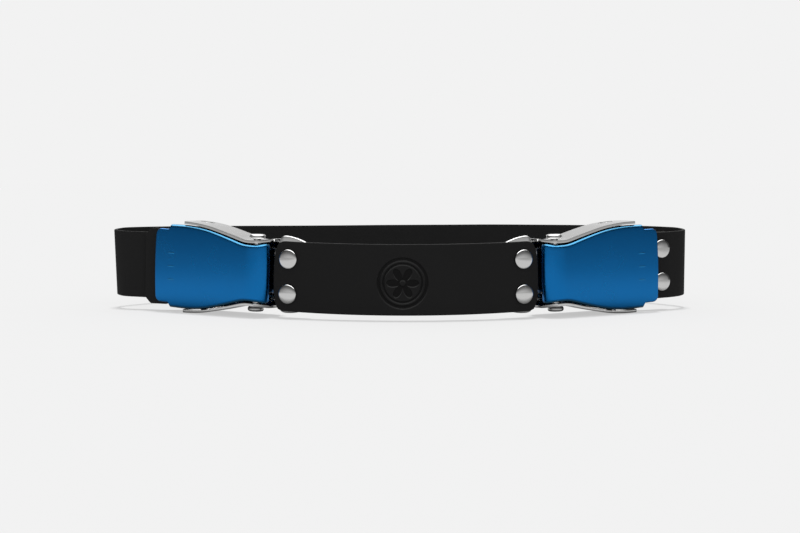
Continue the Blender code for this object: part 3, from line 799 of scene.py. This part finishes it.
# %% [markdown]
# ## Place the levers
# The left buckle is the right one turned upside down, so one pattern serves both.
# Each copy has its own mesh and rides on its own lever body.

# %% Levers in place
for side, word in SIDES:
    lever = copy_of(lever_pattern, "lever_cover_" + word)
    finish_piece(lever, buckle_place(side), "lever_" + word, "lever_" + word, "blue_anodised")
bpy.data.objects.remove(lever_pattern, do_unlink=True)

# %% [markdown]
# ## The buckle frame
# A folded steel channel holds the lever. Its base plate lies against the wearer
# and its two flanges follow the cover's wavy edge, with a rounded beak at the
# nose end. Again a grid is laid on the folded section and given its wall.

# %% Frame sheet
FRAME_WALL = 1.8 * MM
FRAME_FRONT = 1.4 * MM
FRAME_BACK = 26.0 * MM
FRAME_BEND = 3.0 * MM
FRAME_END = {-1: 72.0 * MM, 1: 78.0 * MM}
BEAK = (-3.0 * MM, 17.0 * MM)
FRAME_COLUMNS = 60
FLANGE_GAP = 0.8 * MM
NOSE_SPARE = 0.4 * MM
SLOT_X = 60.5 * MM
SLOT_RADIUS = 2.5 * MM
SLOT_STRETCH = 3.5 * MM
ON_AXIS = 0.01 * MM


def frame_half(x):
    """Half height over the flanges: they stay just outside the cover, a little more at the nose."""
    spare = NOSE_SPARE * (1.0 - smooth_share((x - 16.0 * MM) / (30.0 * MM)))
    return read_table(BUCKLE_OUTLINE, x) + FLANGE_GAP + spare + FRAME_WALL


def frame_start(y):
    """The beak's edge: furthest forward at one depth, curving back above and below it."""
    if y < BEAK[1]:
        return BEAK[0] + 10.0 * MM * ((BEAK[1] - y) / (16.0 * MM)) ** 2
    return BEAK[0] + 4.5 * MM * ((y - BEAK[1]) / (9.0 * MM)) ** 2


def frame_stop(y, side):
    middle = (FRAME_FRONT + FRAME_BACK) / 2
    return FRAME_END[side] - 4.0 * MM * (abs(y - middle) / (FRAME_BACK - middle)) ** 4


def frame_rows():
    bend_start = FRAME_BACK - FRAME_BEND
    side = [(FRAME_FRONT + (bend_start - FRAME_FRONT) * k / 16, 0.0) for k in range(16)]
    for k in range(9):
        angle = math.pi / 2 * k / 8
        side.append((bend_start + FRAME_BEND * math.sin(angle), FRAME_BEND * (1.0 - math.cos(angle))))
    rows = [(y, -1.0, inset) for y, inset in side]
    plate = [(FRAME_BACK, share, FRAME_BEND) for share in (-0.75, -0.5, -0.25, 0.0, 0.25, 0.5, 0.75)]
    return rows + plate + [(y, 1.0, inset) for y, inset in reversed(side)]


FRAME_ROWS = frame_rows()


def cut_slot(piece):
    """A long hole through both flanges: a round cutter whose two halves are moved apart."""
    cutter = round_cutter(SLOT_RADIUS)
    for point in cutter.data.vertices:
        if abs(point.co.x) > ON_AXIS:
            point.co.x += math.copysign(SLOT_STRETCH, point.co.x)
    cutter.location = (SLOT_X, BAR_Y, 0.0)
    cut_away(piece, cutter)


def model_frame(side):
    def spot(column, row):
        y, share, inset = FRAME_ROWS[row]
        low = frame_start(y)
        x = low + (frame_stop(y, side) - low) * column / FRAME_COLUMNS
        return Vector((x, y, share * (frame_half(x) - inset)))

    made = lay_sheet("frame_skin", FRAME_COLUMNS, len(FRAME_ROWS) - 1, spot)
    give_wall(made, FRAME_WALL, 1.0)
    drill_for_pin(made)
    cut_slot(made)
    round_edges(made, 0.7 * MM, 4, 50.0)
    return made


for side, word in SIDES:
    piece = model_frame(side)
    piece.name = "buckle_channel_" + word
    finish_piece(piece, buckle_place(side), "belt", "buckle_frame_" + word, "polished_steel")

# %% [markdown]
# ## Pins, bars and rivets
# These are turned parts. A profile is extruded point by point from a single
# vertex and spun round the axis, as on a lathe, with small rounds at the edges
# so that they catch the light.

# %% Hinge pins and bars
HEAD_RADIUS = 5.6 * MM
HEAD_HEIGHT = 3.3 * MM
HEAD_ROUND = 1.5 * MM
SHANK = 2.5 * MM
TURNED_ANGLE = 50.0
PIN_HALF = max(frame_half(PIN.x + HEAD_RADIUS), frame_half(PIN.x - HEAD_RADIUS)) + 0.35 * MM


def mirrored(upper):
    """Completes a profile with its mirror image below."""
    return upper + [(r, -h) for r, h in reversed(upper)]


def pin_profile():
    top = PIN_HALF + HEAD_HEIGHT
    rim, fall = HEAD_RADIUS - HEAD_ROUND, HEAD_HEIGHT / 2
    upper = [(0.0, top + 0.1 * MM), (SHANK, top + 0.05 * MM), (rim, top)]
    for k in range(1, 13):
        angle = math.radians(15.0 * k)
        upper.append((rim + HEAD_ROUND * math.sin(angle) ** 0.8, top - fall + fall * math.cos(angle)))
    return mirrored(upper + [(SHANK, PIN_HALF)])


def bar_profile():
    half = frame_half(BAR_X) - 0.2 * MM
    return mirrored([(0.0, half), (1.8 * MM, half), (2.05 * MM, half - 0.12 * MM),
                     (BAR_RADIUS, half - 0.4 * MM)])


def finish_turned(piece, place, node):
    finish_piece(piece, place, "belt", node, "polished_steel", TURNED_ANGLE)


for side, word in SIDES:
    hinge = turn_on_lathe("hinge_pin_turned_" + word, pin_profile())
    finish_turned(hinge, buckle_place(side) @ Matrix.Translation(PIN), "hinge_pin_" + word)
    bar = turn_on_lathe("strap_bar_turned_" + word, bar_profile(), 32)
    finish_turned(bar, buckle_place(side) @ Matrix.Translation((BAR_X, BAR_Y, 0.0)), "strap_bar_" + word)

# %% Rivet shape
PANEL_RADIUS = 215.0 * MM
PANEL_WALL = 3.0 * MM
LINK_WALL = 2.0 * MM
STRAP_WALL = 2.4 * MM
GAP = 0.3 * MM
RIVET_SPACING = 24.0 * MM
RIVET_REACH = 80.5 * MM


def rivet_profile(grip):
    """A low dome with a rounded rim, a shank and a burr, for a total thickness."""
    radius, height, rim = 6.7 * MM, 1.9 * MM, 0.5 * MM
    under = -grip - GAP
    rows = []
    for k in range(13):
        angle = math.radians(6.5 * k)
        rows.append((radius * math.sin(angle), GAP + rim + (height - rim) * math.cos(angle)))
    rows += [(radius, GAP + rim * 0.8), (radius - 0.05 * MM, GAP + rim * 0.35), (radius - 0.25 * MM, GAP),
             (2.0 * MM, GAP), (2.0 * MM, under), (4.3 * MM, under), (4.5 * MM, under - 0.2 * MM),
             (4.4 * MM, under - 0.7 * MM), (3.9 * MM, under - MM), (0.0, under - MM)]
    return rows


def panel_spot(angle, depth):
    """A point in plan at an angle along the panel's arc, a depth behind its face."""
    radius = PANEL_RADIUS - depth
    return Vector((FRONT_CENTRE_X + radius * math.sin(angle),
                   PANEL_RADIUS - radius * math.cos(angle) - MIDDLE_Y, 0.0))


def panel_inward(angle):
    return Vector((-math.sin(angle), math.cos(angle), 0.0))


def ruling(inward):
    """The way that the leather's height runs where the belt leans inwards."""
    return UP * math.cos(LEAN) + inward * math.sin(LEAN)


def buckle_ruling(side):
    """The same, where the leather meets a buckle."""
    back = buckle_frame_of(side).to_3x3() @ Vector((0.0, 1.0, 0.0))
    return ruling(Vector((back.x, back.y, 0.0)).normalized())


def panel_rivet_place(side, level):
    angle = side * math.asin(RIVET_REACH / PANEL_RADIUS)
    inward = panel_inward(angle)
    up = ruling(inward)
    out = inward * -math.cos(LEAN) + UP * math.sin(LEAN)
    centre = panel_spot(angle, 0.0) + UP * STRAP_MID_Z + up * (level * RIVET_SPACING / 2)
    turn = Matrix((up.cross(out), up, out)).transposed().to_4x4()
    return STAND @ Matrix.Translation(centre) @ turn


def strap_rivet_place(level):
    spot = Vector((102.0 * MM, 6.55 * MM, level * RIVET_SPACING / 2 - 1.0 * MM))
    turn = Matrix.Rotation(math.radians(90.0), 4, "X") @ Matrix.Rotation(math.radians(-4.6), 4, "Y")
    return buckle_place(1) @ Matrix.Translation(spot) @ turn


rivet_pattern = turn_on_lathe("rivet_pattern", rivet_profile(PANEL_WALL + GAP + LINK_WALL))
long_pattern = turn_on_lathe("long_rivet_pattern", rivet_profile(2 * STRAP_WALL + 2 * GAP))
for level, end in ((-1, "lower"), (1, "upper")):
    for side, word in SIDES:
        spot_name = word + "_" + end
        rivet = copy_of(rivet_pattern, "panel_rivet_domed_" + spot_name)
        finish_turned(rivet, panel_rivet_place(side, level), "panel_rivet_" + spot_name)
    rivet = copy_of(long_pattern, "strap_rivet_domed_" + end)
    finish_turned(rivet, strap_rivet_place(level), "strap_rivet_" + end)
for pattern in (rivet_pattern, long_pattern):
    bpy.data.objects.remove(pattern, do_unlink=True)

# %% [markdown]
# ## The front panel
# A thick strip of leather with rounded ends, bent to the waist. Its rows follow
# the ends' soft rounding. Its face has the stamped leather, its back and its
# bevelled edges the plain one.

# %% Front panel
PANEL_COLUMNS = 120
PANEL_ROWS = 24
PANEL_REACH = 91.0 * MM
PANEL_CORNER = 7.0 * MM
CORNER_POWER = 2.6
STRAP_HALF = 24.0 * MM


def panel_grid_spot(column, row):
    t = row / PANEL_ROWS
    level = math.sin((t - 0.5) * math.pi) * 0.35 + (t - 0.5) * 1.3
    flat = (1.0 - min(abs(level), 1.0) ** CORNER_POWER) ** (1.0 / CORNER_POWER)
    reach = math.asin(PANEL_REACH / PANEL_RADIUS) - PANEL_CORNER * (1.0 - flat) / PANEL_RADIUS
    angle = (2.0 * column / PANEL_COLUMNS - 1.0) * reach
    up = ruling(panel_inward(angle))
    return panel_spot(angle, 0.0) + UP * STRAP_MID_Z + up * (level * STRAP_HALF)


def panel_chart(column, row):
    spot = panel_grid_spot(column, row)
    along = math.asin((spot.x - FRONT_CENTRE_X) / PANEL_RADIUS) * PANEL_RADIUS
    return along * 100.0, (spot.z - STRAP_MID_Z) * 100.0 / math.cos(LEAN)


panel = lay_sheet("leather_panel", PANEL_COLUMNS, PANEL_ROWS, panel_grid_spot, panel_chart)
for leather in (STAMPED, LEATHER):
    panel.data.materials.append(leather)
give_wall(panel, PANEL_WALL, -1.0, material_offset=1, material_offset_rim=1)
round_edges(panel, 0.6 * MM, 3, 60.0)
finish_piece(panel, STAND, "belt", "front_panel", "black_leather")

# %% [markdown]
# ## The links
# A chrome plate is riveted behind each end of the panel. It is a little taller
# than the leather, so its rounded shoulders show above and below, and then it
# narrows, steps back and runs under the lever's nose.

# %% Links
LINK_HEAD = (
    (0.0, 21.0), (3.0, 22.8), (7.0, 24.4), (12.0, 25.8), (17.0, 26.5), (20.5, 26.5), (22.5, 25.6),
    (24.2, 23.5), (25.5, 20.5), (26.6, 17.4), (28.0, 16.3),
)
LINK_PATH = ((-5.4, 14.2), (-3.2, 17.6), (0.2, 20.6), (4.6, 22.4), (9.0, 22.9), (16.0, 22.9), (28.0, 22.9))
LINK_REACHES = (65.5, 69.0, 73.0, 77.0, 81.0, 84.5, 87.0)
LINK_ROWS = 8
LINK_TAPER = 3.0 * MM


def flat_spot(place, x, y):
    """A point of a buckle's frame, seen in plan."""
    spot = place @ Vector((x, y, 0.0))
    return Vector((spot.x, spot.y, 0.0))


def flat_line(side, table):
    """The same for a table of (x, y) rows in millimetres."""
    place = buckle_frame_of(side)
    return [flat_spot(place, x * MM, y * MM) for x, y in table]


def link_line(side):
    """The plate's middle line in plan: behind the panel first, then into the buckle."""
    depth = PANEL_WALL + GAP + LINK_WALL / 2
    line = [panel_spot(side * math.asin(reach * MM / PANEL_RADIUS), depth) for reach in LINK_REACHES]
    return space_out(stations(line + flat_line(side, LINK_PATH), 0.5 * MM), 0.8 * MM)


def model_link(side, word):
    line = link_line(side)
    lengths = running_length(line)
    up = buckle_ruling(side)

    def spot(column, row):
        distance = lengths[column]
        half = read_table(LINK_HEAD, distance) - max(0.0, LINK_TAPER - (lengths[-1] - distance))
        raised = MM * smooth_share(distance / (28.0 * MM))
        return line[column] + UP * (STRAP_MID_Z + raised) + up * (2.0 * row / LINK_ROWS - 1.0) * half

    piece = lay_sheet("link_plate_" + word, len(line) - 1, LINK_ROWS, spot)
    give_wall(piece, LINK_WALL, 0.0)
    round_edges(piece, 0.8 * MM, 4, 50.0)
    finish_piece(piece, STAND, "belt", "link_" + word, "polished_steel")


for side, word in SIDES:
    model_link(side, word)

# %% [markdown]
# ## The strap
# One strip of leather runs all the way round the back. On the left it goes round
# the bar and comes back out, cut wider as a stop. On the right it is folded round
# the bar and held by two rivets. A grid is laid along that path.

# %% Strap path
LOOP_PLAN = (
    (-199.0, 76.6), (-206.0, 81.0), (-209.8, 88.0), (-207.2, 97.0), (-200.3, 106.5),
    (-186.0, 120.0), (-160.0, 139.5), (-118.0, 162.0), (-70.0, 177.5), (-20.0, 184.6),
    (30.0, 185.4), (78.0, 179.5), (122.0, 164.0), (162.0, 141.5), (187.0, 122.0),
    (200.7, 107.0), (208.1, 96.5), (209.9, 87.0), (205.2, 78.6),
)
LEFT_TAIL = ((104.5, 2.9), (98.0, 4.1), (91.0, 5.8), (83.0, 8.3), (74.5, 11.5), (68.0, 13.9))
LEFT_MAIN = ((68.0, 21.6), (75.0, 18.6), (83.0, 13.6), (91.0, 9.5), (99.0, 7.3), (106.0, 5.7))
RIGHT_MAIN = (
    (109.0, 7.2), (104.0, 7.6), (99.0, 8.0), (94.0, 8.4),
    (88.0, 9.4), (81.0, 11.1), (74.0, 12.9), (68.0, 14.0),
)
RIGHT_FOLD = (
    (68.0, 21.7), (75.0, 19.0), (81.0, 15.4), (87.0, 12.7),
    (93.0, 11.5), (99.0, 10.9), (104.0, 10.5), (109.0, 10.1),
)


def round_the_bar(side):
    place = buckle_frame_of(side)
    radius = BAR_RADIUS + GAP + STRAP_WALL / 2
    turn = [math.radians(-80.0 + 20.0 * k) for k in range(9)]
    return [flat_spot(place, BAR_X - radius * math.cos(angle), BAR_Y + radius * math.sin(angle))
            for angle in turn]


def strap_path():
    line = flat_line(-1, LEFT_TAIL) + round_the_bar(-1) + flat_line(-1, LEFT_MAIN)
    line += [Vector((x * MM - MIDDLE_X, y * MM - MIDDLE_Y, 0.0)) for x, y in LOOP_PLAN]
    line += flat_line(1, RIGHT_MAIN) + round_the_bar(1) + flat_line(1, RIGHT_FOLD)
    return stations(line, 1.2 * MM)


STRAP_PATH = strap_path()
STRAP_RUN = running_length(STRAP_PATH)
print("strap length:", round(STRAP_RUN[-1], 3), "m in", len(STRAP_PATH), "stations")

# %% Strap sheet
STRAP_ROWS = 8
STRAP_LIFT = STRAP_MID_Z - STRAP_HALF
TAIL_HALF, TAIL_LENGTH, TAIL_CORNER = 27.5 * MM, 17.0 * MM, 4.5 * MM
FLOOR_UP = STAND.inverted().to_3x3() @ UP
SIDE_RULINGS = {side: buckle_ruling(side) for side, word in SIDES}


def strap_half(distance):
    """The free end is cut wider, with its corners taken off."""
    if distance < TAIL_CORNER:
        return TAIL_HALF - (TAIL_CORNER - distance)
    return TAIL_HALF + (STRAP_HALF - TAIL_HALF) * smooth_share((distance - TAIL_LENGTH) / (6.0 * MM))


def strap_spot(column, row):
    """Leans with the buckles at the sides, stands upright at the back and hangs lower there."""
    spot = STRAP_PATH[column]
    droop = 0.0
    share = smooth_share((209.0 * MM - abs(spot.x)) / (11.0 * MM))
    if spot.y > 88.0 * MM - MIDDLE_Y:
        away = min(max((abs(spot.x) - 30.0 * MM) / (176.0 * MM), 0.0), 1.0)
        droop = STRAP_LIFT * (1.0 - away * away) * (0.94 - 0.06 * smooth_share(spot.x / (80.0 * MM)))
        share = 0.0
    flare = 0.03 * smooth_share((-spot.x - 150.0 * MM) / (45.0 * MM))
    upright = FLOOR_UP - Vector((flare, 0.0, 0.0))
    up = upright.lerp(SIDE_RULINGS[-1 if spot.x < 0 else 1], share).normalized()
    half = strap_half(STRAP_RUN[column])
    return spot + UP * (STRAP_MID_Z - droop) + up * (2.0 * row / STRAP_ROWS - 1.0) * half


def strap_chart(column, row):
    return STRAP_RUN[column] * 100.0, (2.0 * row / STRAP_ROWS - 1.0) * STRAP_HALF * 100.0


strap = lay_sheet("leather_strap", len(STRAP_PATH) - 1, STRAP_ROWS, strap_spot, strap_chart)
give_wall(strap, STRAP_WALL, 0.0)
round_edges(strap, 0.5 * MM, 3, 60.0)
finish_piece(strap, STAND, "belt", "back_strap", "black_leather")

# %% [markdown]
# ## Floor
# The belt stands on a pale floor that runs into a pale background. Most of the
# floor's tone is its own glow, so that it stays one even tone out to the
# background. Polished metal sees a floor of its own: a little darker, most of all
# at the sides, and bright again behind the belt. In the nooks under the belt a
# painted shade darkens that glow, so that the metal's lower edges reflect a dark line.

# %% Floor
PALE = 0.888
FLOOR_TINT = 0.13
SUN_SHARE = 0.27
OWN_TONE = PALE - FLOOR_TINT * PALE - SUN_SHARE
NEAR_TONE, FAR_TONE = 0.84, 0.74
SIDE_SHARE, MIDDLE_EXTRA = 0.70, 0.34
NOOK_SHADE_REACH = 0.045


def reflected_floor(tree):
    """The floor's tone as the metal reflects it. Distances are in metres from the belt's middle."""
    where = tree.nodes.new("ShaderNodeNewGeometry").outputs["Position"]
    distance = add_node(tree, "ShaderNodeVectorMath", operation="LENGTH")
    tree.links.new(where, distance.inputs[0])
    spot = add_node(tree, "ShaderNodeSeparateXYZ", in_Vector=where)
    sideways = maths(tree, "ABSOLUTE", spot.outputs["X"])
    fade = ranged(tree, distance.outputs["Value"], 0.20, 1.2, NEAR_TONE, FAR_TONE)
    middle = maths(tree, "MULTIPLY_ADD", step_down(tree, sideways, 0.25, 0.55), MIDDLE_EXTRA, SIDE_SHARE)
    backward = maths(tree, "SUBTRACT", 1.0, step_down(tree, spot.outputs["Y"], 0.1, 0.4))
    behind_belt = maths(tree, "MULTIPLY", backward, step_down(tree, sideways, 0.4, 0.9))
    tone = maths(tree, "MAXIMUM", maths(tree, "MULTIPLY", fade, middle),
                 maths(tree, "MULTIPLY", behind_belt, NEAR_TONE))
    # Painted shade: the metal sees the floor darker where the belt sits close above it.
    nook_shade = add_node(tree, "ShaderNodeAmbientOcclusion", samples=8, in_Distance=NOOK_SHADE_REACH)
    return maths(tree, "MULTIPLY", tone, maths(tree, "POWER", nook_shade.outputs["AO"], 3.0))


deselect_all()
bpy.ops.mesh.primitive_plane_add(size=14.0, location=(0.0, 2.0, 0.0))
floor = bpy.context.object
floor.name = "studio_floor"
floor_paint = bpy.data.materials.new("pale_floor")
floor_paint.use_nodes = True
tree = floor_paint.node_tree
tree.nodes.clear()
mirrored_ray = tree.nodes.new("ShaderNodeLightPath").outputs["Is Glossy Ray"]
own_or_seen = mix(tree, mirrored_ray, OWN_TONE, reflected_floor(tree), "FLOAT")
glow = add_node(tree, "ShaderNodeEmission", in_Color=own_or_seen)
paint_or_none = mix(tree, mirrored_ray, FLOOR_TINT, 0.0, "FLOAT")
matt = add_node(tree, "ShaderNodeBsdfDiffuse", in_Color=paint_or_none)
both = tree.nodes.new("ShaderNodeAddShader")
tree.links.new(glow.outputs["Emission"], both.inputs[0])
tree.links.new(matt.outputs["BSDF"], both.inputs[1])
add_node(tree, "ShaderNodeOutputMaterial", in_Surface=both.outputs["Shader"])
floor.data.materials.append(floor_paint)
floor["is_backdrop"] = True
print("floor's own tone:", round(OWN_TONE, 3))

# %% [markdown]
# ## Overhead lamp
# One broad lamp almost straight above draws a thin soft shadow under each strap.
# It lights only the floor, because the belt takes its light from the room.

# %% Overhead lamp
GROUND = bpy.data.collections.new("ground")
bpy.context.scene.collection.children.link(GROUND)
GROUND.objects.link(floor)

lamp_data = bpy.data.lights.new("overhead_lamp", "SUN")
lamp_data.energy = SUN_SHARE / FLOOR_TINT * math.pi
lamp_data.angle = math.radians(10.0)
lamp = bpy.data.objects.new("overhead_lamp", lamp_data)
lamp.location = (0.0, 0.0, 1.5)
lamp.rotation_euler = (math.radians(-6.0), 0.0, 0.0)
bpy.context.scene.collection.objects.link(lamp)
lamp.light_linking.receiver_collection = GROUND
print("lamp:", round(lamp_data.energy, 2))

# %% [markdown]
# ## What the metal sees
# Polished metal shows the room, so the room is drawn for reflections alone. In
# front it is pale at floor level, fades to dark above that and is very bright
# overhead: the dark band shades the levers and the domes, and the bright ceiling
# gives every folded edge its thin highlight. Behind the belt it stays pale
# further up, for the frames' sloping tops. Dark flags stand at both sides.

# %% Studio
FRONT_ROOM = ((0.0, 0.60), (0.495, 0.52), (0.515, 0.47), (0.545, 0.39), (0.580, 0.29),
              (0.620, 0.17), (0.780, 0.08), (0.850, 0.5), (0.890, 3.8), (1.0, 3.8))
REAR_ROOM = ((0.0, 0.82), (0.690, 0.76), (0.730, 0.35), (0.780, 0.60), (0.840, 3.8), (1.0, 3.8))
world = bpy.data.worlds.new("studio")
bpy.context.scene.world = world
world.use_nodes = True
world.cycles.sampling_method = "NONE"
tree = world.node_tree
tree.nodes.clear()
way = tree.nodes.new("ShaderNodeTexCoord").outputs["Generated"]
parts = add_node(tree, "ShaderNodeSeparateXYZ", in_Vector=way)
backward = parts.outputs["Y"]
height = ranged(tree, parts.outputs["Z"], -1.0, 1.0, 0.0, 1.0, "LINEAR")


def room_bands(bands):
    """A grey ramp over the height of the view, from straight down to straight up."""
    node = add_node(tree, "ShaderNodeValToRGB", in_Fac=height)
    stops = node.color_ramp.elements
    for position, value in bands[1:-1]:
        stops.new(position)
    for stop, (position, value) in zip(stops, bands):
        stop.color = (value, value, value, 1.0)
    return node.outputs["Color"]


def scaled(colour, share):
    node = add_node(tree, "ShaderNodeVectorMath", operation="SCALE", in_Scale=share)
    tree.links.new(colour, node.inputs[0])
    return node.outputs["Vector"]


front_room = scaled(room_bands(FRONT_ROOM), ranged(tree, backward, -0.30, -0.80, 0.85, 1.45))
rear = ranged(tree, backward, -0.05, 0.35, 0.0, 1.0)
room = mix(tree, rear, front_room, room_bands(REAR_ROOM))
aside = ranged(tree, maths(tree, "ABSOLUTE", parts.outputs["X"]), 0.50, 0.80, 0.0, 0.85)
not_front = ranged(tree, backward, -0.30, 0.05, 0.0, 1.0)
flags = maths(tree, "SUBTRACT", 1.0, maths(tree, "MULTIPLY", aside, not_front))
mirrored_ray = tree.nodes.new("ShaderNodeLightPath").outputs["Is Glossy Ray"]
seen_room = mix(tree, mirrored_ray, (PALE, PALE, PALE), scaled(room, flags))
background = add_node(tree, "ShaderNodeBackground", in_Color=seen_room)
add_node(tree, "ShaderNodeOutputWorld", in_Surface=background.outputs["Background"])
print("room bands:", len(FRONT_ROOM), "in front and", len(REAR_ROOM), "behind")

# %% Sizes
dressed_box = [list(corner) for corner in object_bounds()]
for word, box in (("packed", packed_box), ("dressed", dressed_box)):
    print(word, [[round(v / MM, 2) for v in corner] for corner in box])
